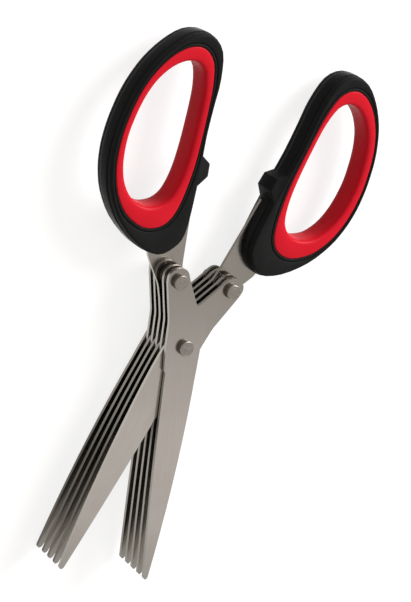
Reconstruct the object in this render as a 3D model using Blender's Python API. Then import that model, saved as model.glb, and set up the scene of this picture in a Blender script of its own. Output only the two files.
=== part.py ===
"""Herb scissors with ten interleaved blades, five on each half, that turn on one pivot rivet.

Lengths are in metres. The scissors lie flat, +Z up, with their tips towards -Y. The origin is on
the pivot's axis, at the underside of the pivot rivet. Each half is drawn closed, beside the middle
plane, as (across, along): across is the distance from that plane to the side of the half's own
handle, along is the distance from the pivot towards the handle. It is then turned open.
"""

import math

import bmesh
import bpy
from mathutils import Vector

# Clearances
seat_gap = 0.0003
bore_clearance = 0.0001
cut_overrun = 0.002

# Blades. From fan_start below the pivot they spread, each layer by a share of the way to the tip
blades_per_half = 5
tang_blade = 3
blade_thickness = 0.0011
blade_length = 0.0823
fan_start = 0.0120
fan_rise_share = 0.0072
edge_offset = 0.0058
edge_offset_at_tip = 0.0030
spine_offset = 0.0061
spine_offset_at_tip = -0.0013
tip_rounding = 0.0009
taper_power = 1.8
blade_steps = 10
heel_drop = 0.0078
heel_step = 0.0006

# Upper ends of the blades, round the handle rivet
handle_rivet_across = 0.0060
handle_rivet_along = 0.0229
blade_end_radius = 0.0043
shank_half_width = 0.0072

# Tangs, the steel that runs on into the handles
tang_inner_edge = 0.0021
tang_top = 0.0530
tang_handle_wall = 0.0012
tang_outer_edge = 0.0140
tang_outer_along = 0.0272
tang_flare_across = 0.0017
tang_flare_along = 0.0033
tang_wide_share = 0.40
tang_outer_root_shares = (0.92, -0.66)
tang_inner_root_share = 0.98

# Rivets and spacers
pivot_shank_radius = 0.0017
pivot_head_radius = 0.0026
handle_shank_radius = 0.0015
handle_head_radius = 0.0025
rivet_head_height = 0.0020
rivet_top_head_height = 0.0013
rivet_head_chamfer = 0.0002
spacer_radius = 0.0032
round_steps = 24

# Handles
handle_inset = 0.0021
handle_start = 0.0318
handle_width = 0.0339
handle_length = 0.0702
handle_depth = 0.0098
handle_edge_radius = 0.0012
handle_edge_steps = 2
handle_lift = 0.0003
handle_side_bulge = 0.0003
outline_steps = 3
corner_limit_share = 0.5
smooth_below = math.radians(35)

# Finger rings
ring_recess = 0.0003
ring_edge_radius = 0.0012
ring_edge_steps = 2
ring_wall_bulge = 0.0006

# Closing stops
stop_along = 0.0590
stop_base_length = 0.0088
stop_face_length = 0.0042
stop_depth = 0.0080
stop_lift = -0.0002
stop_root = 0.0010
stop_end_across = 0.0004

# How far each half stands from closed
opening_half_angle = math.radians(13.05)

# Handle outlines as shares of the handle's width and length, from its inner side over the top. The
# sides of the handle and of the finger hole stand out a little from them, by their bulge
handle_outline_shares = [
    (0.041, 0.530), (0.029, 0.604), (0.009, 0.692), (-0.017, 0.803), (0.010, 0.928), (0.142, 0.997),
    (0.330, 1.000), (0.522, 0.948), (0.687, 0.873), (0.802, 0.793), (0.876, 0.722), (0.925, 0.656),
    (0.962, 0.594), (0.987, 0.531), (1.000, 0.464), (0.991, 0.376), (0.938, 0.272), (0.805, 0.153),
    (0.587, 0.048), (0.366, 0.000), (0.201, 0.030), (0.106, 0.093), (0.066, 0.245), (0.049, 0.402),
]
ring_outline_shares = [
    (0.100, 0.534), (0.088, 0.600), (0.076, 0.680), (0.070, 0.782), (0.100, 0.880), (0.205, 0.938),
    (0.350, 0.946), (0.519, 0.910), (0.667, 0.845), (0.770, 0.775), (0.838, 0.706), (0.882, 0.645),
    (0.914, 0.590), (0.935, 0.532), (0.946, 0.466), (0.938, 0.388), (0.888, 0.294), (0.774, 0.202),
    (0.584, 0.138), (0.410, 0.134), (0.296, 0.170), (0.224, 0.234), (0.165, 0.330), (0.122, 0.433),
]
hole_outline_shares = [
    (0.150, 0.538), (0.138, 0.596), (0.126, 0.662), (0.120, 0.748), (0.152, 0.838), (0.244, 0.884),
    (0.372, 0.890), (0.516, 0.862), (0.646, 0.808), (0.735, 0.745), (0.793, 0.684), (0.832, 0.629),
    (0.860, 0.580), (0.877, 0.530), (0.884, 0.474), (0.876, 0.408), (0.834, 0.332), (0.732, 0.260),
    (0.570, 0.220), (0.426, 0.222), (0.328, 0.248), (0.266, 0.290), (0.212, 0.360), (0.174, 0.449),
]

# The blunt tip of a blade from its edge to its back, as shares of its width there and of its rounding
tip_shares = [(0.90, 0.50), (0.68, 0.10), (0.50, 0.00), (0.32, 0.10), (0.10, 0.50)]

# The blade's upper end round its rivet, as shares of its radius
blade_end_shares = [(-0.95, 0.05), (-0.70, 0.74), (-0.22, 1.05), (0.46, 0.98), (0.94, 0.62), (0.99, 0.04)]

# The back of the blade from the pivot to the rivet, as shares of the spine's offset and the rivet's place
shoulder_shares = [(-1.15, 0.10), (-1.16, 0.25), (-0.96, 0.43), (-0.36, 0.62)]

# The handle side of the blade from the rivet to the pivot, the same way
shank_shares = [(1.19, 0.66), (1.01, 0.40), (0.99, 0.13), (0.99, 0.00)]

# Worked out from the sizes above
half_pitch = blade_thickness + seat_gap
blade_pitch = 2 * half_pitch
stack_bottom = rivet_head_height + seat_gap
stack_top = stack_bottom + (2 * blades_per_half - 1) * half_pitch + blade_thickness
spacer_thickness = blade_pitch - blade_thickness - 2 * seat_gap
middle_layer = (2 * blades_per_half - 1) / 2


def clear_scene():
    for obj in list(bpy.data.objects):
        bpy.data.objects.remove(obj, do_unlink=True)


def principled(name, colour, roughness, metallic):
    material = bpy.data.materials.new(name)
    material.use_nodes = True
    shader = material.node_tree.nodes["Principled BSDF"]
    shader.inputs["Base Color"].default_value = (*colour, 1)
    shader.inputs["Roughness"].default_value = roughness
    shader.inputs["Metallic"].default_value = metallic
    return material


def mesh_object(name, mesh_data, material, parent):
    bmesh.ops.recalc_face_normals(mesh_data, faces=mesh_data.faces)
    mesh = bpy.data.meshes.new(name)
    mesh_data.to_mesh(mesh)
    mesh_data.free()
    obj = bpy.data.objects.new(name, mesh)
    bpy.context.scene.collection.objects.link(obj)
    obj.parent = parent
    if material:
        mesh.materials.append(material)
    return obj


def shade_round(obj):
    obj.data.shade_smooth()
    obj.data.set_sharp_from_angle(angle=smooth_below)


def as_cutter(obj):
    obj.hide_render = True
    obj.display_type = "WIRE"
    return obj


def boolean(obj, other, operation):
    modifier = obj.modifiers.new(other.name, "BOOLEAN")
    modifier.operation = operation
    modifier.solver = "EXACT"
    modifier.object = other


def lofted(name, loops, material, parent, round_trip=False):
    """Joins outlines with as many points each. The ends are capped, or joined in a round trip."""
    mesh_data = bmesh.new()
    rows = [[mesh_data.verts.new(point) for point in loop] for loop in loops]
    pairs = list(zip(rows, rows[1:]))
    if round_trip:
        pairs.append((rows[-1], rows[0]))
    else:
        mesh_data.faces.new(rows[0])
        mesh_data.faces.new(rows[-1])
    for lower, upper in pairs:
        for i in range(len(lower)):
            j = (i + 1) % len(lower)
            mesh_data.faces.new((lower[i], lower[j], upper[j], upper[i]))
    return mesh_object(name, mesh_data, material, parent)


def at_height(outline, z):
    return [Vector((x, y, z)) for x, y in outline]


def slab(name, outline, bottom, thickness, material, parent):
    return lofted(name, [at_height(outline, bottom), at_height(outline, bottom + thickness)], material, parent)


def fan_out(blade, rise_share):
    """Folds the blade a little beyond its heel, so that the blades spread towards their tips."""
    mesh_data = bmesh.new()
    mesh_data.from_mesh(blade.data)
    everything = mesh_data.verts[:] + mesh_data.edges[:] + mesh_data.faces[:]
    bmesh.ops.bisect_plane(mesh_data, geom=everything, plane_co=(0, -fan_start, 0), plane_no=(0, 1, 0))
    for vertex in mesh_data.verts:
        vertex.co.z += rise_share * max(0, -fan_start - vertex.co.y)
    mesh_data.to_mesh(blade.data)
    mesh_data.free()


def turned(name, profile, centre, material, parent):
    """A round piece from (radius, height) pairs, bottom to top, round a vertical axis at centre."""
    loops = []
    for radius, z in profile:
        turns = [2 * math.pi * i / round_steps for i in range(round_steps)]
        loops.append([
            Vector((centre[0] + radius * math.cos(a), centre[1] + radius * math.sin(a), z)) for a in turns
        ])
    obj = lofted(name, loops, material, parent)
    shade_round(obj)
    return obj


def smooth_outline(points):
    """A closed curve through the points, with outline_steps short sides between each two."""
    count = len(points)
    curve = []
    for i in range(count):
        before, start, end, after = (Vector(points[(i + k) % count]) for k in (-1, 0, 1, 2))
        for step in range(outline_steps):
            t = step / outline_steps
            curve.append(
                0.5 * (2 * start + (end - before) * t + (2 * before - 5 * start + 4 * end - after) * t**2
                       + (3 * start - before - 3 * end + after) * t**3)
            )
    return curve


def grown(outline, distance):
    """The outline moved outwards by distance, or inwards where it is negative."""
    count = len(outline)
    points = [Vector(point) for point in outline]
    area = sum(points[i].cross(points[(i + 1) % count]) for i in range(count))
    turn = 1 if area > 0 else -1
    moved = []
    for i in range(count):
        before = (points[i] - points[i - 1]).normalized()
        after = (points[(i + 1) % count] - points[i]).normalized()
        normals = [Vector((side.y, -side.x)) * turn for side in (before, after)]
        middle = (normals[0] + normals[1]).normalized()
        moved.append(points[i] + middle * (distance / max(middle.dot(normals[0]), corner_limit_share)))
    return moved


def handle_outline(shares):
    corner = Vector((handle_inset, handle_start))
    return smooth_outline([corner + Vector((a * handle_width, b * handle_length)) for a, b in shares])


def spine_side():
    """The back of a blade, from its tip to the pivot."""
    points = []
    for i in range(blade_steps):
        share = 1 - i / blade_steps
        drop = (spine_offset - spine_offset_at_tip) * share**taper_power
        points.append((drop - spine_offset, -share * (blade_length - tip_rounding)))
    points.append((-spine_offset, 0))
    return points


def cutting_edge():
    """The edge from the heel to the blade's tip, and the blunt point that follows it."""
    points = [(edge_offset + heel_step, -heel_drop)]
    for i in range(blade_steps):
        share = (i + 1) / blade_steps
        along = heel_drop + heel_step + share * (blade_length - tip_rounding - heel_drop - heel_step)
        drop = (edge_offset - edge_offset_at_tip) * (along / blade_length) ** taper_power
        points.append((edge_offset - drop, -along))
    points.insert(1, (edge_offset, -heel_drop - heel_step))
    tip_width = edge_offset_at_tip + spine_offset_at_tip
    tip = [(a * tip_width - spine_offset_at_tip, b * tip_rounding - blade_length) for a, b in tip_shares]
    return points + tip


def shoulder():
    return [(a * spine_offset, b * handle_rivet_along) for a, b in shoulder_shares]


def shank():
    return [(a * shank_half_width, b * handle_rivet_along) for a, b in shank_shares]


def blade_outline():
    """A short blade, which ends just past the handle rivet."""
    centre = Vector((handle_rivet_across, handle_rivet_along))
    end = [tuple(centre + Vector(pair) * blade_end_radius) for pair in blade_end_shares]
    return spine_side() + shoulder() + end + shank() + cutting_edge()


def tang_outline():
    """The part of the tang that lies in the handle and shows below it, from its inner edge."""
    ring = grown(handle_outline(ring_outline_shares), tang_handle_wall + 2 * seat_gap)
    lobe_bottom = handle_start
    wide = handle_inset + handle_width * tang_wide_share
    beside_ring = [
        tuple(point) for point in ring
        if tang_inner_edge < point.x < wide and point.y < tang_top and point.y > lobe_bottom
    ]
    beside_ring.sort(key=lambda point: -point[1])
    rivet_place = Vector((handle_rivet_across, handle_rivet_along))
    root = tuple(rivet_place + Vector(tang_outer_root_shares) * blade_end_radius)
    top = [(tang_inner_edge, tang_top), (beside_ring[0][0], tang_top)]
    return [(tang_inner_edge, handle_rivet_along + blade_end_radius)] + top + beside_ring + [
        (tang_outer_edge + tang_flare_across, tang_outer_along + tang_flare_along),
        (tang_outer_edge, tang_outer_along),
        root,
    ]


def tang_blade_outline():
    """The middle blade of a half, which runs on past the rivet into the handle."""
    inner_root = (handle_rivet_across - blade_end_radius * tang_inner_root_share, handle_rivet_along)
    return spine_side() + shoulder() + [inner_root] + tang_outline() + shank() + cutting_edge()


clear_scene()

steel = principled("satin_stainless_steel", (0.50, 0.47, 0.44), 0.32, 1.0)
rivet_steel = principled("polished_rivet_steel", (0.62, 0.60, 0.57), 0.25, 1.0)
black_plastic = principled("black_moulded_plastic", (0.012, 0.012, 0.013), 0.42, 0.0)
red_rubber = principled("red_soft_rubber", (0.62, 0.012, 0.03), 0.48, 0.0)


def make_half(side_name, side, top_layer):
    """One half: side is -1 for the left and 1 for the right, top_layer counts half pitches down."""
    half = bpy.data.objects.new(side_name + "_half", None)
    bpy.context.scene.collection.objects.link(half)
    half.rotation_euler.z = -side * opening_half_angle

    def placed(outline):
        return [(side * x, y) for x, y in outline]

    rivet_centre = (side * handle_rivet_across, handle_rivet_along)
    blade_top = stack_top - top_layer * half_pitch
    drill_profile = [(0, -cut_overrun), (0, stack_top + cut_overrun)]
    drills = []
    for name, radius, centre in (
        ("pivot_drill", pivot_shank_radius, (0, 0)),
        ("rivet_drill", handle_shank_radius, rivet_centre),
    ):
        profile = [(radius + bore_clearance, z) for _, z in drill_profile]
        drills.append(as_cutter(turned(f"{side_name}_{name}", profile, centre, None, half)))

    for number in range(1, blades_per_half + 1):
        bottom = blade_top - (number - 1) * blade_pitch - blade_thickness
        layer = top_layer + 2 * (number - 1)
        if number == tang_blade:
            name = f"{side_name}_tang_blade_{number}"
            outline = tang_blade_outline()
        else:
            name = f"{side_name}_blade_{number}"
            outline = blade_outline()
        blade = slab(name, placed(outline), bottom, blade_thickness, steel, half)
        fan_out(blade, (middle_layer - layer) * fan_rise_share)
        for drill in drills:
            boolean(blade, drill, "DIFFERENCE")
        if number < blades_per_half:
            spacer_top = bottom - seat_gap
            profile = [(spacer_radius, spacer_top - spacer_thickness), (spacer_radius, spacer_top)]
            spacer = turned(f"{side_name}_spacer_{number}", profile, rivet_centre, rivet_steel, half)
            boolean(spacer, drills[1], "DIFFERENCE")

    highest = blade_top + seat_gap
    lowest = blade_top - (blades_per_half - 1) * blade_pitch - blade_thickness - seat_gap
    rivet(f"{side_name}_handle_rivet", handle_shank_radius, handle_head_radius, lowest, highest, rivet_centre, half)
    make_handle(side_name, placed, blade_top - (tang_blade - 1) * blade_pitch - blade_thickness, half)
    return half


def rivet(name, shank_radius, head_radius, lowest, highest, centre, parent):
    """Two low flat heads with a small chamfer, on a plain shank from lowest to highest."""
    bottom = lowest - rivet_head_height
    top = highest + rivet_top_head_height
    profile = [
        (head_radius - rivet_head_chamfer, bottom),
        (head_radius, bottom + rivet_head_chamfer),
        (head_radius, lowest),
        (shank_radius, lowest),
        (shank_radius, highest),
        (head_radius, highest),
        (head_radius, top - rivet_head_chamfer),
        (head_radius - rivet_head_chamfer, top),
    ]
    return turned(name, profile, centre, rivet_steel, parent)


def make_handle(side_name, placed, tang_bottom, parent):
    """The black body with its closing stop, moulded round the tang, and the red ring in its seat."""
    middle = tang_bottom + blade_thickness / 2 + handle_lift
    body_outline = grown(handle_outline(handle_outline_shares), handle_side_bulge)
    ring_outline = handle_outline(ring_outline_shares)
    hole_outline = grown(handle_outline(hole_outline_shares), -ring_wall_bulge)
    seat = placed(grown(ring_outline, seat_gap))
    bottom = middle - handle_depth / 2
    top = middle + handle_depth / 2

    loops = [at_height(seat, bottom)]
    for turn, level, direction in ((0, bottom, 1), (1, top, -1)):
        for step in range(handle_edge_steps + 1):
            share = abs(turn - step / handle_edge_steps)
            angle = share * math.pi / 2
            inset = handle_edge_radius * (1 - math.sin(angle))
            z = level + direction * handle_edge_radius * (1 - math.cos(angle))
            loops.append(at_height(placed(grown(body_outline, -inset)), z))
    loops.append(at_height(seat, top))
    body = lofted(side_name + "_handle_body", loops, black_plastic, parent, round_trip=True)
    shade_round(body)

    stop_bottom = middle + stop_lift - stop_depth / 2
    inner_side = handle_inset + stop_root
    stop_outline = [
        (inner_side + stop_root, stop_along - stop_base_length / 2),
        (inner_side, stop_along - stop_base_length / 2),
        (stop_end_across, stop_along - stop_face_length / 2),
        (stop_end_across, stop_along + stop_face_length / 2),
        (inner_side, stop_along + stop_base_length / 2),
        (inner_side + stop_root, stop_along + stop_base_length / 2),
    ]
    stop = slab(side_name + "_stop_form", placed(stop_outline), stop_bottom, stop_depth, None, parent)
    boolean(body, as_cutter(stop), "UNION")

    slot_outline = placed(grown(tang_outline(), seat_gap))
    slot_height = blade_thickness + 2 * seat_gap
    slot = slab(side_name + "_tang_slot", slot_outline, tang_bottom - seat_gap, slot_height, None, parent)
    boolean(body, as_cutter(slot), "DIFFERENCE")

    ring_bottom = bottom + ring_recess
    ring_top = top - ring_recess
    loops = [at_height(placed(ring_outline), ring_top), at_height(placed(ring_outline), ring_bottom)]
    for turn, level, direction in ((0, ring_bottom, 1), (1, ring_top, -1)):
        for step in range(ring_edge_steps + 1):
            share = abs(turn - step / ring_edge_steps)
            angle = share * math.pi / 2
            inset = ring_edge_radius * (1 - math.sin(angle))
            z = level + direction * ring_edge_radius * (1 - math.cos(angle))
            loops.append(at_height(placed(grown(hole_outline, inset)), z))
    ring = lofted(side_name + "_finger_ring", loops, red_rubber, parent, round_trip=True)
    shade_round(ring)


left_half = make_half("left", -1, 0)
right_half = make_half("right", 1, 1)
pivot_bottom = stack_bottom - seat_gap
pivot_top = stack_top + seat_gap
rivet("pivot_rivet", pivot_shank_radius, pivot_head_radius, pivot_bottom, pivot_top, (0, 0), left_half)
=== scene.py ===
"""Herb scissors with ten interleaved blades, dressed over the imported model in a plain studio.

Lengths are in metres. The scissors lie flat, +Z up, tips towards -Y, with the pivot's axis at the
origin. Each half is turned from closed round that axis, the left one to -X and the right one to +X.
"""

from math import copysign, pi, radians

import bmesh
import bpy
from mathutils import Matrix, Vector
from mathutils.geometry import intersect_point_line


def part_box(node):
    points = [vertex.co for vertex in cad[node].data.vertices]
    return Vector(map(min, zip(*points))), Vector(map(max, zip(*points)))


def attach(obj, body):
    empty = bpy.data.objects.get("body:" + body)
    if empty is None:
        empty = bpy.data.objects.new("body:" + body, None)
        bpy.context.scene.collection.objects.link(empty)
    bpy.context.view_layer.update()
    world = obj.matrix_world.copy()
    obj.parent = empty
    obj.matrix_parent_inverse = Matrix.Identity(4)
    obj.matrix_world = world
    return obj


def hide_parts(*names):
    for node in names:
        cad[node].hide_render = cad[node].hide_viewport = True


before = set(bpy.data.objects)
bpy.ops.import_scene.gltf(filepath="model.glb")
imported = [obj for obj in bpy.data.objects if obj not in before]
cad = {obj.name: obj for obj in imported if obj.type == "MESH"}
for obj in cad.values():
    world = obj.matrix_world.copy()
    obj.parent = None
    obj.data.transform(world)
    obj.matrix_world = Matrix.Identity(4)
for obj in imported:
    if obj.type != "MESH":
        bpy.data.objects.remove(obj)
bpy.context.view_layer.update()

# The studio
# A white table in a pale grey room that is darker behind the camera, under one large soft lamp
# beyond the handles. The camera stands to the left and well above, with a long lens.
camera_place = (-0.40686, 0.15602, 0.53796)
camera_turn = (radians(-25.4132), radians(-31.4239), radians(23.4628))
camera_lens_mm = 186.409
camera_sensor_mm = 36
table_size = 6.0
table_colour = "#989796"
table_roughness = 0.9
table_glow_colour = "#FFFFFF"
table_glow = 0.78
room_colour = "#FFFCF8"
room_fade = (-0.6, 0.8)
room_light_behind_camera = 0.50
room_light_opposite = 0.66
lamp_place = (0.56, 0.76, 0.58)
lamp_size = 0.6
lamp_power = 13.5


def hex_colour(code):
    """An sRGB hex value as the linear colour that Blender works with, by the sRGB standard."""
    parts = [int(code[i:i + 2], 16) / 255 for i in (1, 3, 5)]
    linear = [c / 12.92 if c <= 0.04045 else ((c + 0.055) / 1.055) ** 2.4 for c in parts]
    return (*linear, 1.0)


def add_node(tree, kind, settings, links):
    """A node with its own settings or socket values, and each named input linked to an output."""
    node = tree.nodes.new(kind)
    for name, value in settings.items():
        if isinstance(name, int) or name in node.inputs:
            node.inputs[name].default_value = value
        else:
            setattr(node, name, value)
    for name, output in links.items():
        tree.links.new(output, node.inputs[name])
    return node


def new_material(name, settings):
    """A material, its nodes and its shader, with what is the same all over set on the shader."""
    material = bpy.data.materials.new(name)
    material.use_nodes = True
    shader = material.node_tree.nodes["Principled BSDF"]
    for socket, value in settings.items():
        shader.inputs[socket].default_value = value
    return material, material.node_tree, shader


bpy.ops.object.select_all(action="DESELECT")
bpy.ops.object.camera_add(location=camera_place, rotation=camera_turn)
camera = bpy.context.active_object
camera.data.sensor_fit = "HORIZONTAL"
camera.data.sensor_width = camera_sensor_mm
camera.data.lens = camera_lens_mm
bpy.context.scene.camera = camera

lamp_turn = (-Vector(lamp_place)).to_track_quat("-Z", "Y").to_euler()
bpy.ops.object.light_add(type="AREA", location=lamp_place, rotation=lamp_turn)
lamp = bpy.context.active_object
lamp.name = "soft_lamp_beyond_handles"
lamp.data.shape = "DISK"
lamp.data.size = lamp_size
lamp.data.energy = lamp_power

world = bpy.data.worlds.new("pale_grey_room")
bpy.context.scene.world = world
world.use_nodes = True
tree = world.node_tree
background = tree.nodes["Background"]
background.inputs["Color"].default_value = hex_colour(room_colour)
place = add_node(tree, "ShaderNodeTexCoord", {}, {})
direction = add_node(tree, "ShaderNodeSeparateXYZ", {}, {"Vector": place.outputs["Generated"]})
across = add_node(
    tree, "ShaderNodeMapRange",
    {"interpolation_type": "SMOOTHSTEP", "From Min": room_fade[0], "From Max": room_fade[1],
     "To Min": room_light_behind_camera, "To Max": room_light_opposite},
    {"Value": direction.outputs["X"]},
)
tree.links.new(across.outputs["Result"], background.inputs["Strength"])

bpy.ops.mesh.primitive_plane_add(size=table_size)
table = bpy.context.active_object
table.name = "pale_table"
table_paint, tree, shader = new_material("white_matt_table", {
    "Base Color": hex_colour(table_colour), "Roughness": table_roughness, "Specular IOR Level": 0.0,
    "Emission Color": hex_colour(table_glow_colour),
})
rays = add_node(tree, "ShaderNodeLightPath", {}, {})
seen = rays.outputs["Is Camera Ray"]
for name in ("Is Glossy Ray", "Is Transmission Ray"):
    ray = rays.outputs[name]
    either = add_node(tree, "ShaderNodeMath", {"operation": "MAXIMUM"}, {0: seen, 1: ray})
    seen = either.outputs[0]
glow = add_node(tree, "ShaderNodeMath", {"operation": "MULTIPLY", 1: table_glow}, {0: seen})
tree.links.new(glow.outputs[0], shader.inputs["Emission Strength"])
table.data.materials.append(table_paint)

bpy.context.scene.view_settings.view_transform = "Standard"

# Blades
# Ten flat blades stamped from stainless sheet 1.1 mm thick, five to a half, one half's between the
# other's. They are satin ground along their length, with darker sheared edges that tumbling has
# rounded a little. The middle one of each half runs on as the tang. Their tones hold painted
# reflection and shade along each blade, and the blades below the top one are painted darker as
# shade.
side_sign = {"left": -1, "right": 1}
half_turn = radians(13.05)
merge_distance = 0.000002
flat_turn = radians(0.1)
along_axis = 0.9
blade_edge_rounding = 0.00010
blade_edge_turn = radians(50)
blade_corner_rounding = 0.0011
blade_corner_turns = (radians(4), radians(60))
blade_corners_from = -0.002
blade_smooth_turn = radians(18)
bore_reach = 0.0024
pivot_spot = Vector((0.0, 0.0))
handle_rivet_spot = Vector((0.0060, 0.0229))
grind_line_width = 0.00022
grind_line_length = 0.016
grind_line_depth = 0.00002
cloud_width = 0.0133
sheared_rise = (0.15, 0.75)
sheared_roughness = 0.16
# Each tone stands at its share of this way, from before the tip to the shank
toned_way = (-0.084, 0.024)
# The face tones are painted reflection and shade, lighter and darker along the blade as what the
# steel mirrors changes. The inner blades' tones are painted shade, darker where the blade above
# covers them.
outer_tones = [
    (0.0, "#B6B5B0"), (0.20, "#D2CDC7"), (0.48, "#D9D3CD"), (0.76, "#C2BDB8"), (1.0, "#A29F98"),
]
inner_tones = [
    (0.0, "#B0AFA9"), (0.07, "#8E8C86"), (0.76, "#8A8781"), (0.93, "#8F8C85"), (1.0, "#A29F98"),
]
# The edge tones are painted reflection and shade along the blade. The right half's edges are
# painted darker, most of all towards the shank.
light_edges = [(0.0, "#8E8B84"), (0.36, "#A9A59D"), (0.73, "#B2AEA6"), (0.82, "#BDB9B1")]
light_then_dark_edges = [(0.0, "#A09C94"), (0.30, "#B4B0A8"), (0.73, "#C4C0B8"), (0.82, "#77736C")]
dark_edges = [
    (0.0, "#6A6761"), (0.36, "#605D58"), (0.55, "#8E8A82"), (0.73, "#9E9A92"), (0.82, "#77736C"),
]


def activate(piece):
    """Makes a piece the active object and the only one selected."""
    bpy.ops.object.select_all(action="DESELECT")
    piece.select_set(True)
    bpy.context.view_layer.objects.active = piece


def copy_of(node_name, piece_name):
    """A new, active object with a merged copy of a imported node's mesh."""
    piece = bpy.data.objects.new(piece_name, cad[node_name].data.copy())
    piece.data.materials.clear()
    bpy.context.scene.collection.objects.link(piece)
    activate(piece)
    bpy.ops.object.mode_set(mode="EDIT")
    bpy.ops.mesh.select_all(action="SELECT")
    bpy.ops.mesh.remove_doubles(threshold=merge_distance)
    bpy.ops.mesh.dissolve_limited(angle_limit=flat_turn)
    bpy.ops.object.mode_set(mode="OBJECT")
    return piece


def select_only(kind, wanted):
    """Selects, in edit mode, only those parts of one kind of the active mesh that are wanted."""
    bpy.ops.mesh.select_mode(type=kind)
    bpy.ops.mesh.select_all(action="DESELECT")
    mesh = bmesh.from_edit_mesh(bpy.context.object.data)
    for part in {"VERT": mesh.verts, "EDGE": mesh.edges, "FACE": mesh.faces}[kind]:
        if wanted(part):
            part.select_set(True)
    mesh.select_flush_mode()
    bmesh.update_edit_mesh(bpy.context.object.data)


def closed_place(point, side):
    """Where a point of a half stands when the scissors are closed, as (across, along)."""
    turned = Matrix.Rotation(side_sign[side] * half_turn, 2) @ point.to_2d()
    return Vector((side_sign[side] * turned.x, turned.y))


def rounded_corner(edge, side):
    """Whether an edge is an upright one of a blade's heel or shank, and not of a rivet's bore."""
    start, end = (vertex.co for vertex in edge.verts)
    if len(edge.link_faces) != 2 or abs((start - end).normalized().z) < along_axis:
        return False
    spot = closed_place(start, side)
    away = min((spot - bore).length for bore in (pivot_spot, handle_rivet_spot))
    if away < bore_reach or spot.y < blade_corners_from:
        return False
    return blade_corner_turns[0] < edge.calc_face_angle() < blade_corner_turns[1]


def apply_modifier(piece, kind, settings):
    """Adds a modifier with its settings to the active piece, and applies it."""
    bpy.ops.object.modifier_add(type=kind)
    modifier = piece.modifiers[-1]
    for name, value in settings.items():
        setattr(modifier, name, value)
    bpy.ops.object.modifier_apply(modifier=modifier.name)


def wall_share(tree, place, start, end):
    """1 where a face stands upright, down to 0 as the rise of its normal goes from start to end."""
    facing = add_node(tree, "ShaderNodeSeparateXYZ", {}, {"Vector": place.outputs["Normal"]})
    rise = add_node(tree, "ShaderNodeMath", {"operation": "ABSOLUTE"}, {0: facing.outputs["Z"]})
    share = add_node(
        tree, "ShaderNodeMapRange",
        {"From Min": start, "From Max": end, "To Min": 1.0, "To Max": 0.0},
        {"Value": rise.outputs[0]},
    )
    return share.outputs["Result"]


def give_skin(tree, shader, roughness, height, depth, strength):
    """Links a material's roughness, and its relief, which is this deep where the height is 1."""
    tree.links.new(roughness, shader.inputs["Roughness"])
    relief = add_node(
        tree, "ShaderNodeBump", {"Strength": strength, "Distance": depth}, {"Height": height}
    )
    tree.links.new(relief.outputs["Normal"], shader.inputs["Normal"])


def ground_steel(name, side, face_tones, edge_tones):
    """Satin stainless steel for blades of one half, in tones for their faces and their edges."""
    steel, tree, shader = new_material(name, {"Metallic": 1.0})
    # The grinding shows as faint lines along the blade. The tones from the tip to the shank are
    # painted reflection and shade of what the steel mirrors, on the faces in one way and on the
    # rougher sheared edges in another
    place = add_node(tree, "ShaderNodeTexCoord", {}, {})
    turn = (0, 0, -side_sign[side] * half_turn)
    closed = add_node(
        tree, "ShaderNodeMapping", {"vector_type": "TEXTURE", "Rotation": turn},
        {"Vector": place.outputs["Object"]},
    )
    along = add_node(tree, "ShaderNodeSeparateXYZ", {}, {"Vector": closed.outputs["Vector"]})
    way_up = add_node(
        tree, "ShaderNodeMapRange",
        {"From Min": toned_way[0], "From Max": toned_way[1], "To Min": 0.0, "To Max": 1.0},
        {"Value": along.outputs["Y"]},
    )
    ramps = []
    for tones in (face_tones, edge_tones):
        ramp = add_node(tree, "ShaderNodeValToRGB", {}, {"Fac": way_up.outputs["Result"]})
        stops = ramp.color_ramp.elements
        stops.remove(stops[1])
        for share, shade in tones:
            stop = stops[0] if share == 0.0 else stops.new(share)
            stop.color = hex_colour(shade)
        ramps.append(ramp.outputs["Color"])
    face_tone, edge_tone = ramps
    cloud = add_node(
        tree, "ShaderNodeTexNoise", {"Scale": 1 / cloud_width, "Detail": 2.0, "Roughness": 0.5},
        {"Vector": place.outputs["Object"]},
    )
    drift = add_node(
        tree, "ShaderNodeMapRange",
        {"From Min": 0.35, "From Max": 0.65, "To Min": 0.0, "To Max": 0.22},
        {"Value": cloud.outputs["Fac"]},
    )
    tone = add_node(
        tree, "ShaderNodeMix", {"data_type": "RGBA", "B": hex_colour("#C9B6AE")},
        {"Factor": drift.outputs["Result"], "A": face_tone},
    )
    grind = add_node(
        tree, "ShaderNodeMapping",
        {"vector_type": "TEXTURE", "Rotation": turn,
         "Scale": (grind_line_width, grind_line_length, grind_line_width)},
        {"Vector": place.outputs["Object"]},
    )
    lines = add_node(
        tree, "ShaderNodeTexNoise", {"Scale": 1.0, "Detail": 3.0, "Roughness": 0.65},
        {"Vector": grind.outputs["Vector"]},
    )
    streak = add_node(
        tree, "ShaderNodeMapRange",
        {"From Min": 0.30, "From Max": 0.70, "To Min": 0.0, "To Max": 0.20},
        {"Value": lines.outputs["Fac"]},
    )
    tone = add_node(
        tree, "ShaderNodeMix", {"data_type": "RGBA", "B": hex_colour("#A7A39B")},
        {"Factor": streak.outputs["Result"], "A": tone.outputs["Result"]},
    )
    # The sheared edges take the edge tones, painted reflection and shade
    sheared = wall_share(tree, place, *sheared_rise)
    tone = add_node(
        tree, "ShaderNodeMix", {"data_type": "RGBA"},
        {"Factor": sheared, "A": tone.outputs["Result"], "B": edge_tone},
    )
    tree.links.new(tone.outputs["Result"], shader.inputs["Base Color"])
    sheen = add_node(
        tree, "ShaderNodeMapRange",
        {"From Min": 0.30, "From Max": 0.70, "To Min": 0.17, "To Max": 0.25},
        {"Value": lines.outputs["Fac"]},
    )
    sheen = add_node(
        tree, "ShaderNodeMath", {"operation": "MULTIPLY_ADD", 1: sheared_roughness},
        {0: sheared, 2: sheen.outputs["Result"]},
    )
    give_skin(tree, shader, sheen.outputs[0], lines.outputs["Fac"], grind_line_depth, strength=0.12)
    return steel


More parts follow.
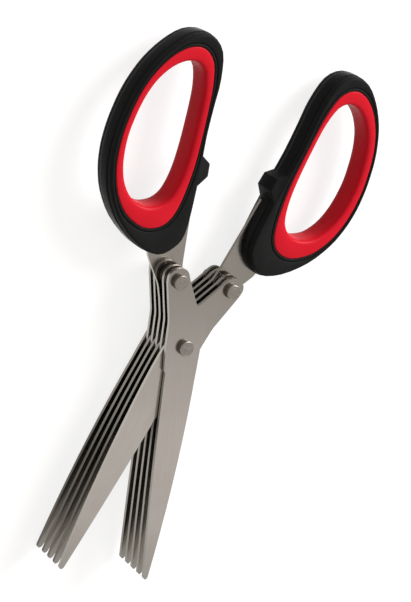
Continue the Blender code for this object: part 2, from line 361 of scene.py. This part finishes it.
for side, top_edges, inner_edges in (
    ("left", light_edges, light_edges), ("right", light_then_dark_edges, dark_edges)
):
    bright_steel = ground_steel(
        f"satin_ground_stainless_steel_{side}_top_blade", side, outer_tones, top_edges
    )
    # The blades below the top one are painted darker, as shade between the blades
    shaded_inner_steel = ground_steel(
        f"oiled_ground_stainless_steel_{side}_inner_blades", side, inner_tones, inner_edges
    )
    for name in [name for name in cad if name.startswith(side) and "blade" in name]:
        blade = copy_of(name, name + "_stamped")
        bpy.ops.object.mode_set(mode="EDIT")
        select_only("EDGE", lambda edge: rounded_corner(edge, side))
        bpy.ops.mesh.bevel(offset=blade_corner_rounding, segments=4, affect="EDGES")
        bpy.ops.object.mode_set(mode="OBJECT")
        apply_modifier(blade, "BEVEL", {
            "width": blade_edge_rounding, "segments": 2, "limit_method": "ANGLE",
            "angle_limit": blade_edge_turn,
        })
        bpy.ops.object.shade_smooth_by_angle(angle=blade_smooth_turn)
        blade.data.materials.append(bright_steel if name.endswith("_1") else shaded_inner_steel)
        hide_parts(name)
        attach(blade, side + "_half")

# Spacers
# Eight turned steel collars on the two handle rivets, which keep one half's blades apart.
tool_mark_height = 0.00018
tool_mark_depth = 0.00002
collar_steel, tree, shader = new_material("turned_collar_steel", {
    "Base Color": hex_colour("#9C9892"), "Metallic": 1.0,
})
# Tool marks run round each collar, so they show as fine bands one above the other
place = add_node(tree, "ShaderNodeTexCoord", {}, {})
rings = add_node(
    tree, "ShaderNodeMapping", {"vector_type": "TEXTURE", "Scale": (1.0, 1.0, tool_mark_height)},
    {"Vector": place.outputs["Object"]},
)
marks = add_node(
    tree, "ShaderNodeTexNoise", {"Scale": 1.0, "Detail": 2.0}, {"Vector": rings.outputs["Vector"]}
)
sheen = add_node(
    tree, "ShaderNodeMapRange", {"From Min": 0.3, "From Max": 0.7, "To Min": 0.30, "To Max": 0.46},
    {"Value": marks.outputs["Fac"]},
)
give_skin(
    tree, shader, sheen.outputs["Result"], marks.outputs["Fac"], tool_mark_depth, strength=0.3
)
for name, node in cad.items():
    if "spacer" in name:
        node.data.materials[0] = collar_steel

# Rivets
# Three solid steel rivets, headed at both ends. The low round heads have a rounded rim and a flat
# face that was turned, so fine rings run round it.
shank_radii = {"pivot_rivet": 0.0017, "left_handle_rivet": 0.0015, "right_handle_rivet": 0.0015}
rivet_sides = 64
rivet_seat = 0.0003
rivet_smooth_turn = radians(30)
head_heights = {1: 0.0013, -1: 0.0020}
# Each step of a head is a rise as a share of its height, and a width as a share of the step before
rivet_head = [
    (0.0, 0.985), (0.05, 1.015), (0.80, 1.0), (0.07, 0.988), (0.05, 0.970), (0.020, 0.965),
    (0.005, 0.955), (-0.025, 0.985), (0.0, 0.90), (0.012, 0.97),
]
face_ring_spacing = 0.0010
face_ring_depth = 0.00002
# The rings of a wave texture stand this far apart at scale 1
wave_spacing = 2 * pi / 20
stain_width = 0.00111
side_wall_rise = (0.2, 0.6)
side_wall_roughness = 0.20
for name, shank_radius in shank_radii.items():
    low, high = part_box(name)
    middle = (low + high) / 2
    head_radius = (high.x - low.x) / 2
    shank_ends = {
        1: high.z - head_heights[1] - rivet_seat,
        -1: low.z + head_heights[-1] + rivet_seat,
    }
    bpy.ops.object.select_all(action="DESELECT")
    bpy.ops.mesh.primitive_cylinder_add(
        vertices=rivet_sides, radius=shank_radius, depth=shank_ends[1] - shank_ends[-1],
        location=(middle.x, middle.y, (shank_ends[1] + shank_ends[-1]) / 2),
    )
    rivet = bpy.context.active_object
    rivet.name = name + "_turned"
    bpy.ops.object.transform_apply()
    bpy.ops.object.mode_set(mode="EDIT")
    for up, shank_end in shank_ends.items():
        select_only(
            "FACE", lambda face: abs(face.calc_center_median().z - shank_end) < merge_distance
        )
        bpy.ops.mesh.extrude_region_move()
        bpy.ops.transform.resize(value=(head_radius / shank_radius, head_radius / shank_radius, 1))
        for rise, share in rivet_head:
            head_rise = rise * up * (head_heights[up] + rivet_seat)
            bpy.ops.mesh.extrude_region_move(TRANSFORM_OT_translate={"value": (0, 0, head_rise)})
            bpy.ops.transform.resize(value=(share, share, 1))
    bpy.ops.object.mode_set(mode="OBJECT")
    bpy.ops.object.shade_smooth_by_angle(angle=rivet_smooth_turn)
    rivet_steel, tree, shader = new_material("turned_rivet_steel_" + name, {"Metallic": 1.0})
    # Faint turned rings round the rivet's own axis, over darker stains, and a rougher side painted
    # dark as a painted reflection
    place = add_node(tree, "ShaderNodeTexCoord", {}, {})
    centred = add_node(
        tree, "ShaderNodeMapping",
        {"vector_type": "TEXTURE", "Location": (middle.x, middle.y, 0.0)},
        {"Vector": place.outputs["Object"]},
    )
    rings = add_node(
        tree, "ShaderNodeTexWave",
        {"wave_type": "RINGS", "rings_direction": "Z", "Scale": wave_spacing / face_ring_spacing,
         "Distortion": 1.5, "Detail": 2.0, "Detail Scale": 40.0},
        {"Vector": centred.outputs["Vector"]},
    )
    stains = add_node(
        tree, "ShaderNodeTexNoise", {"Scale": 1 / stain_width, "Detail": 3.0},
        {"Vector": place.outputs["Object"]},
    )
    tone = add_node(
        tree, "ShaderNodeMix",
        {"data_type": "RGBA", "A": hex_colour("#B3AEA7"), "B": hex_colour("#8A857C")},
        {"Factor": stains.outputs["Fac"]},
    )
    # The side wall's darker tone is painted reflection
    side_wall = wall_share(tree, place, *side_wall_rise)
    tone = add_node(
        tree, "ShaderNodeMix", {"data_type": "RGBA", "B": hex_colour("#7A756D")},
        {"Factor": side_wall, "A": tone.outputs["Result"]},
    )
    tree.links.new(tone.outputs["Result"], shader.inputs["Base Color"])
    sheen = add_node(
        tree, "ShaderNodeMapRange",
        {"From Min": 0.0, "From Max": 1.0, "To Min": 0.22, "To Max": 0.34},
        {"Value": rings.outputs["Fac"]},
    )
    sheen = add_node(
        tree, "ShaderNodeMath", {"operation": "MULTIPLY_ADD", 1: side_wall_roughness},
        {0: side_wall, 2: sheen.outputs["Result"]},
    )
    give_skin(tree, shader, sheen.outputs[0], rings.outputs["Fac"], face_ring_depth, strength=0.10)
    rivet.data.materials.append(rivet_steel)
    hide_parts(name)
    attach(rivet, "right_half" if name.startswith("right") else "left_half")

# Handle bodies
# Hard black nylon moulded round each tang. A finely grained band runs round the outside between two
# grooves and two smooth rounded flanks. On both faces a groove and a thin rim frame the soft ring.
outline_level = 0.0040
outline_turn = radians(0.3)
band_stands_out = 0.00032
# Each step of a wall is a rise from the step before, and how far it spreads from it
flank = [
    (0.00140, -0.00002), (0.00110, -0.00006), (0.00004, -0.00026), (0.00016, 0.0),
    (0.00004, 0.00014), (0.00062, -0.00004), (0.00050, -0.00010), (0.00038, -0.00015),
    (0.00025, -0.00019), (0.00012, -0.00020), (0.00004, -0.00016),
]
seat_rim = [
    (0.00425, 0.0), (0.00018, 0.00004), (0.00012, 0.00012), (0.00004, 0.00040),
    (-0.00004, 0.00030), (-0.00014, 0.00008), (-0.00022, 0.00006), (0.0, 0.00010),
    (0.00022, 0.00008), (0.00014, 0.00008), (0.00008, 0.00014),
]
rim_keeps_off = 0.00110
least_spread_share = 0.1
foot_within = 0.0075
foot_across_shift = 0.00145
foot_level = 0.0009
foot_fades_by = 0.0039
foot_starts = (0.033, 0.041)
foot_ends = (0.056, 0.061)
nub_along = 0.0590
nub_across = (0.0004, 0.0042)
nub_end_length = 0.0042
nub_root_length = 0.0106
nub_height = (-0.0042, 0.0044)
nub_end_height_share = 0.92
nub_rounding = 0.0003
slot_play = 0.00003
moulded_smooth_turn = radians(35)
grain_width = 0.000385
grain_depth = 0.00006
flow_width = 0.00455
flow_depth_share = 0.25
band_rise = (0.06, 0.16)
band_roughness = -0.20


def outlines_of(node_name, level):
    """The closed outlines, longest first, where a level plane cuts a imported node."""
    piece = copy_of(node_name, node_name + "_outline")
    bpy.ops.object.mode_set(mode="EDIT")
    bpy.ops.mesh.select_all(action="SELECT")
    bpy.ops.mesh.bisect(
        plane_co=(0, 0, level), plane_no=(0, 0, 1), clear_inner=True, clear_outer=True
    )
    bpy.ops.mesh.select_all(action="SELECT")
    bpy.ops.mesh.remove_doubles(threshold=merge_distance)
    bpy.ops.mesh.dissolve_limited(angle_limit=outline_turn)
    bpy.ops.mesh.separate(type="LOOSE")
    bpy.ops.object.mode_set(mode="OBJECT")
    return sorted(bpy.context.selected_objects, key=lambda outline: -outline.dimensions.y)


def sides_of(outline):
    """The two ends of each side of an outline, in plan."""
    places = [vertex.co.to_2d().to_3d() for vertex in outline.data.vertices]
    return [tuple(places[i] for i in edge.vertices) for edge in outline.data.edges]


def share_between(value, start, end):
    """How far a value has gone from start to end, from 0 to 1."""
    return min(max((value - start) / (end - start), 0.0), 1.0)


def room_beside(point, sides):
    """The least distance in plan from a point to an outline's sides."""
    flat = point.to_2d().to_3d()
    rooms = []
    for start, end in sides:
        share = intersect_point_line(flat, start, end)[1]
        rooms.append((start.lerp(end, share_between(share, 0.0, 1.0)) - flat).length)
    return min(rooms)


def spread_loop(mesh_data, distance, neighbour, keep, to_go):
    """Moves a selected oval loop outwards, or inwards where distance is negative, by that distance
    all round, but by a smaller share of it where a neighbouring outline leaves too little room."""
    mesh = bmesh.from_edit_mesh(mesh_data)
    loop = [vertex for vertex in mesh.verts if vertex.select]
    centre = sum((vertex.co for vertex in loop), Vector()) / len(loop)
    moves = []
    for vertex in loop:
        before, after = (edge.other_vert(vertex).co for edge in vertex.link_edges if edge.select)
        outward = (after - before).cross(Vector((0, 0, 1))).normalized()
        share = 1.0
        if neighbour and to_go > merge_distance:
            room = room_beside(vertex.co, neighbour) - keep
            share = max(least_spread_share, min(1.0, room / to_go))
        signed = copysign(distance, distance * outward.dot(vertex.co - centre))
        moves.append(outward * signed * share)
    for vertex, move in zip(loop, moves):
        vertex.co += move
    bmesh.update_edit_mesh(mesh_data)


def wall_from(outline, middle, steps, start=0.0, neighbour=None, keep=0.0):
    """Spreads an outline by start, then draws it up and down by steps of a rise and a spread."""
    activate(outline)
    for vertex in outline.data.vertices:
        vertex.co.z = middle
    bpy.ops.object.mode_set(mode="EDIT")
    bpy.ops.mesh.select_all(action="SELECT")
    spread_loop(outline.data, start, None, 0.0, 0.0)
    for up in (1, -1):
        select_only("VERT", lambda vertex: abs(vertex.co.z - middle) < merge_distance)
        to_go = sum(spread for rise, spread in steps)
        for rise, spread in steps:
            bpy.ops.mesh.extrude_region_move(TRANSFORM_OT_translate={"value": (0, 0, up * rise)})
            spread_loop(outline.data, spread, neighbour, keep, to_go)
            to_go -= spread
    bpy.ops.object.mode_set(mode="OBJECT")


def bridged(outer, inner, middle, name):
    """Joins an outer and an inner wall into one closed ring, by their edges above and below."""
    activate(outer)
    inner.select_set(True)
    bpy.ops.object.join()
    bpy.ops.object.mode_set(mode="EDIT")
    for up in (1, -1):
        select_only(
            "EDGE",
            lambda edge: edge.is_boundary and (edge.verts[0].co.z - middle) * up > merge_distance,
        )
        bpy.ops.mesh.bridge_edge_loops()
    bpy.ops.mesh.select_all(action="SELECT")
    bpy.ops.mesh.normals_make_consistent(inside=False)
    bpy.ops.object.mode_set(mode="OBJECT")
    outer.name = name
    return outer


def eased(value, start, end):
    """How far a value has gone from start to end, with a soft beginning and end."""
    share = share_between(value, start, end)
    return share * share * (3 - 2 * share)


def combine(piece, other, operation):
    """Joins another object to the piece, or cuts it out, and removes the other object."""
    activate(piece)
    apply_modifier(piece, "BOOLEAN", {"operation": operation, "solver": "EXACT", "object": other})
    bpy.data.objects.remove(other)


nylon, tree, shader = new_material("grained_black_nylon", {"Specular IOR Level": 0.035})
# Black with a faint satin bloom. The band round the outside has a fine spark-eroded grain, drawn
# coarser than it is so that it shows. Every upright face, the band, the inner walls and the nub, is
# painted deeper black, partly the grained band's own tone and partly painted shade. The rest is
# smooth, with the soft unevenness of a moulded face.
place = add_node(tree, "ShaderNodeTexCoord", {}, {})
grained = wall_share(tree, place, *band_rise)
grain = add_node(
    tree, "ShaderNodeTexNoise", {"Scale": 1 / grain_width, "Detail": 3.0, "Roughness": 0.6},
    {"Vector": place.outputs["Object"]},
)
flow = add_node(
    tree, "ShaderNodeTexNoise", {"Scale": 1 / flow_width, "Detail": 2.0},
    {"Vector": place.outputs["Object"]},
)
smooth_tone = add_node(
    tree, "ShaderNodeMix",
    {"data_type": "RGBA", "A": hex_colour("#1B1B1B"), "B": hex_colour("#222222")},
    {"Factor": flow.outputs["Fac"]},
)
# Upright faces are painted deeper black, partly their own grained tone and partly painted shade
grained_and_shaded_tone = add_node(
    tree, "ShaderNodeMix",
    {"data_type": "RGBA", "A": hex_colour("#040404"), "B": hex_colour("#0C0C0C")},
    {"Factor": grain.outputs["Fac"]},
)
tone = add_node(
    tree, "ShaderNodeMix", {"data_type": "RGBA"},
    {"Factor": grained, "A": smooth_tone.outputs["Result"], "B": grained_and_shaded_tone.outputs["Result"]},
)
tree.links.new(tone.outputs["Result"], shader.inputs["Base Color"])
sheen = add_node(
    tree, "ShaderNodeMapRange", {"From Min": 0.3, "From Max": 0.7, "To Min": 0.40, "To Max": 0.50},
    {"Value": flow.outputs["Fac"]},
)
sheen = add_node(
    tree, "ShaderNodeMath", {"operation": "MULTIPLY_ADD", 1: band_roughness},
    {0: grained, 2: sheen.outputs["Result"]},
)
depth = add_node(
    tree, "ShaderNodeMath", {"operation": "MULTIPLY"}, {0: grained, 1: grain.outputs["Fac"]}
)
depth = add_node(
    tree, "ShaderNodeMath", {"operation": "MULTIPLY_ADD", 1: flow_depth_share},
    {0: flow.outputs["Fac"], 2: depth.outputs[0]},
)
give_skin(tree, shader, sheen.outputs[0], depth.outputs[0], grain_depth, strength=0.45)

for side, sign in side_sign.items():
    node = side + "_handle_body"
    low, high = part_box(node)
    middle = (low.z + high.z) / 2
    # Just above the closing stop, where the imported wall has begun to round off
    outer, seat = outlines_of(node, middle + outline_level)
    body_sides = sides_of(outer)
    wall_from(outer, middle, flank, band_stands_out)
    # Beside the tang the inner wall slopes out to a foot that the steel lies against
    foot_shift = Matrix.Rotation(-sign * half_turn, 2) @ Vector((-sign * foot_across_shift, 0.0))
    for vertex in outer.data.vertices:
        spot = closed_place(vertex.co, side)
        if spot.x < foot_within:
            along = eased(spot.y, *foot_starts) * (1 - eased(spot.y, *foot_ends))
            level = share_between(abs(vertex.co.z - middle), foot_level, foot_fades_by)
            vertex.co += foot_shift.to_3d() * along * (1 - level)
    wall_from(seat, middle, seat_rim, 0.0, body_sides, rim_keeps_off)
    body = bridged(outer, seat, middle, node + "_moulded")

    # The closing stop, a short nub that narrows towards its end
    nub_middle = middle + sum(nub_height) / 2
    bpy.ops.object.select_all(action="DESELECT")
    bpy.ops.mesh.primitive_cube_add(
        size=1, location=(sign * sum(nub_across) / 2, nub_along, nub_middle),
        scale=(nub_across[1] - nub_across[0], nub_root_length, nub_height[1] - nub_height[0]),
    )
    nub = bpy.context.active_object
    bpy.ops.object.transform_apply()
    bpy.ops.object.mode_set(mode="EDIT")
    select_only("FACE", lambda face: face.normal.x * sign < -along_axis)
    bpy.ops.transform.resize(
        value=(1, nub_end_length / nub_root_length, nub_end_height_share),
        center_override=(0, nub_along, nub_middle),
    )
    bpy.ops.object.mode_set(mode="OBJECT")
    apply_modifier(nub, "BEVEL", {"width": nub_rounding, "segments": 3, "limit_method": "ANGLE"})
    nub.rotation_euler.z = -sign * half_turn
    bpy.ops.object.transform_apply()
    combine(body, nub, "UNION")

    # The slot that the tang lies in
    tang = copy_of(side + "_tang_blade_3", "tang_cutter")
    bpy.ops.object.mode_set(mode="EDIT")
    bpy.ops.mesh.select_all(action="SELECT")
    bpy.ops.transform.shrink_fatten(value=slot_play, use_even_offset=True)
    bpy.ops.object.mode_set(mode="OBJECT")
    combine(body, tang, "DIFFERENCE")
    bpy.ops.object.shade_smooth_by_angle(angle=moulded_smooth_turn)
    body.data.materials.append(nylon)
    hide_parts(node)
    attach(body, side + "_half")

# Finger rings
# Soft red rubber pressed into each handle, with a flat face on both sides and a full, rounded wall
# round the fingers.
ring_press = 0.00029
ring_outside = [(0.0041, 0.0), (0.00030, -0.00006), (0.00014, -0.00014), (0.00004, -0.00012)]
ring_wall = [
    (0.00135, 0.00001), (0.00105, 0.00004), (0.00078, 0.00009), (0.00047, 0.00013),
    (0.00032, 0.00019), (0.00022, 0.00026), (0.00014, 0.00031), (0.00008, 0.00035),
]
wall_keeps_off = 0.0006
mottle_width = 0.000667
mottle_depth = 0.00004
handled_width = 0.0111
rubber, tree, shader = new_material("soft_red_rubber", {"Specular IOR Level": 0.10})
# A satin skin with a fine mottle, drawn coarser than it is so that it shows, and a little darker
# where it has been handled
place = add_node(tree, "ShaderNodeTexCoord", {}, {})
mottle = add_node(
    tree, "ShaderNodeTexNoise", {"Scale": 1 / mottle_width, "Detail": 3.0, "Roughness": 0.6},
    {"Vector": place.outputs["Object"]},
)
handled = add_node(
    tree, "ShaderNodeTexNoise", {"Scale": 1 / handled_width, "Detail": 2.0},
    {"Vector": place.outputs["Object"]},
)
tone = add_node(
    tree, "ShaderNodeMix",
    {"data_type": "RGBA", "A": hex_colour("#CF1829"), "B": hex_colour("#C31022")},
    {"Factor": handled.outputs["Fac"]},
)
tree.links.new(tone.outputs["Result"], shader.inputs["Base Color"])
sheen = add_node(
    tree, "ShaderNodeMapRange", {"From Min": 0.3, "From Max": 0.7, "To Min": 0.36, "To Max": 0.46},
    {"Value": mottle.outputs["Fac"]},
)
give_skin(tree, shader, sheen.outputs["Result"], mottle.outputs["Fac"], mottle_depth, strength=0.15)
for side in side_sign:
    node = side + "_finger_ring"
    low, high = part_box(node)
    middle = (low.z + high.z) / 2
    outer, hole = outlines_of(node, middle)
    ring_sides = sides_of(outer)
    wall_from(outer, middle, ring_outside, ring_press)
    wall_from(hole, middle, ring_wall, 0.0, ring_sides, wall_keeps_off)
    ring = bridged(outer, hole, middle, node + "_pressed_in")
    bpy.ops.object.shade_smooth_by_angle(angle=moulded_smooth_turn)
    ring.data.materials.append(rubber)
    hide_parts(node)
    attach(ring, side + "_half")
